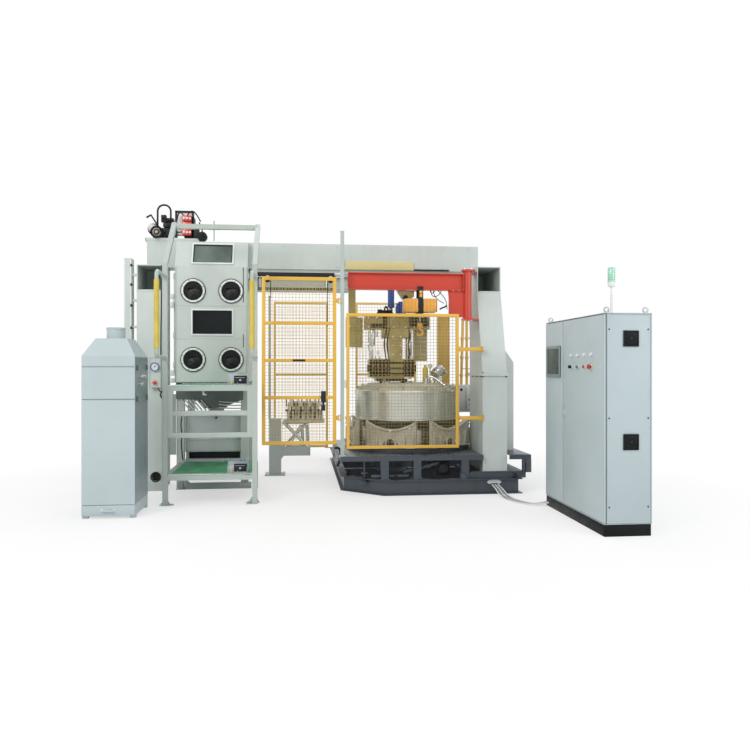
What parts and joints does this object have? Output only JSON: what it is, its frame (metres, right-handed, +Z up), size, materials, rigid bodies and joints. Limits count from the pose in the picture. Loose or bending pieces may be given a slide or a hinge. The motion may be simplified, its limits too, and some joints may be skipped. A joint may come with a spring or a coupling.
{
  "type": "die casting machine",
  "caption": "Low-pressure die casting machine with a gantry over its furnace, an operator cabin with glove ports, swing gates, a jib hoist, a dust collector and a control cabinet.",
  "frame": {"origin": "on the ground, in the middle of the whole layout", "axes": "+Z up, the operator's side towards -Y, the control cabinet towards +X"},
  "size_m": [5.84, 6.293, 3.962],
  "materials": {
    "machine_grey": "satin paint",
    "frame_grey": "satin paint",
    "dark_base": "satin paint",
    "feed_ochre": "satin paint",
    "guard_yellow": "gloss paint",
    "pale_frame": "satin paint",
    "crane_red": "gloss paint",
    "hoist_orange": "gloss paint",
    "steel": "brushed",
    "cabinet_blue": "textured paint",
    "mat_green": "ribbed",
    "glove_rubber": "matt",
    "pedal_orange": "matt",
    "lamp_plastic": "clear lens",
    "screen_plastic": "smooth",
    "window_glass": "clear",
    "cable_jacket": "matt"
  },
  "bodies": {
    "machine": {"base_frame": "dark_base", "beam_rails": "dark_base", "cabin_front": "frame_grey", "cabin_glass": "window_glass", "cabin_hopper": "dark_base", "cabin_legs": "dark_base", "cabin_walls": "frame_grey", "cabinet_body": "cabinet_blue", "cabinet_plinth": "dark_base", "cable_1": "cable_jacket", "cable_2": "cable_jacket", "cable_3": "cable_jacket", "cable_4": "cable_jacket", "cable_5": "cable_jacket", "cross_beam": "machine_grey", "deck": "dark_base", "dust_body": "cabinet_blue", "dust_hood": "cabinet_blue", "feed_column": "feed_ochre", "feed_pipes": "feed_ochre", "foot_switches": "pedal_orange", "furnace_drum": "steel", "furnace_lid": "steel", "gate_brackets": "guard_yellow", "gauge_box": "pale_frame", "glove_ports": "glove_rubber", "handrails": "guard_yellow", "hydraulic_unit": "dark_base", "jib_brackets": "crane_red", "left_column": "machine_grey", "lid_fittings": "steel", "lower_platform": "pale_frame", "manipulator_carriage": "dark_base", "middle_post": "pale_frame", "platform_mats": "mat_green", "portal_frame": "pale_frame", "rear_fence": "guard_yellow", "right_column_lower": "machine_grey", "right_column_upper": "machine_grey", "right_side_box": "machine_grey", "saddles": "dark_base", "sand_bin": "frame_grey", "setting_table": "pale_frame", "signal_tower": "lamp_plastic", "table_stand": "pale_frame", "upper_platform": "pale_frame"},
    "front_guard": {"front_gate": "guard_yellow"},
    "middle_guard": {"middle_gate": "guard_yellow"},
    "jib": {"jib_arm": "crane_red"},
    "hoist_trolley": {"hoist": "hoist_orange"},
    "hoist_hook": {"hook": "steel"},
    "manipulator": {"gripper": "dark_base"},
    "cabinet_near_door": {"near_door": "cabinet_blue"},
    "cabinet_far_door": {"far_door": "cabinet_blue", "touch_screen": "screen_plastic"},
    "sand_drawer": {"dust_drawer": "cabinet_blue"}
  },
  "joints": [
    {"name": "front_gate_hinge", "type": "hinge", "parent": "machine", "child": "front_guard", "pos_m": [1.852, -0.62, 0.996], "axis": [0, 0, 1], "range_deg": [0, 90]},
    {"name": "middle_gate_hinge", "type": "hinge", "parent": "machine", "child": "middle_guard", "pos_m": [-0.042, -0.62, 1.01], "axis": [0, 0, 1], "range_deg": [0, 90]},
    {"name": "jib_slew", "type": "hinge", "parent": "machine", "child": "jib", "pos_m": [1.705, -0.46, 2.325], "axis": [0, 0, -1], "range_deg": [0, 22]},
    {"name": "trolley_travel", "type": "slide", "parent": "jib", "child": "hoist_trolley", "axis": [1, 0, 0], "range_m": [-0.8, 0.1]},
    {"name": "hook_lift", "type": "slide", "parent": "hoist_trolley", "child": "hoist_hook", "axis": [0, 0, 1], "range_m": [-0.28, 0.05]},
    {"name": "manipulator_lift", "type": "slide", "parent": "machine", "child": "manipulator", "axis": [0, 0, 1], "range_m": [0, 0.12]},
    {"name": "near_door_hinge", "type": "hinge", "parent": "machine", "child": "cabinet_near_door", "pos_m": [2.437, -3.126, 0.12], "axis": [0, 0, 1], "range_deg": [0, 120]},
    {"name": "far_door_hinge", "type": "hinge", "parent": "machine", "child": "cabinet_far_door", "pos_m": [2.437, -1.502, 0.12], "axis": [0, 0, -1], "range_deg": [0, 120]},
    {"name": "drawer_slide", "type": "slide", "parent": "machine", "child": "sand_drawer", "axis": [0, -1, 0], "range_m": [0, 0.4]}
  ]
}
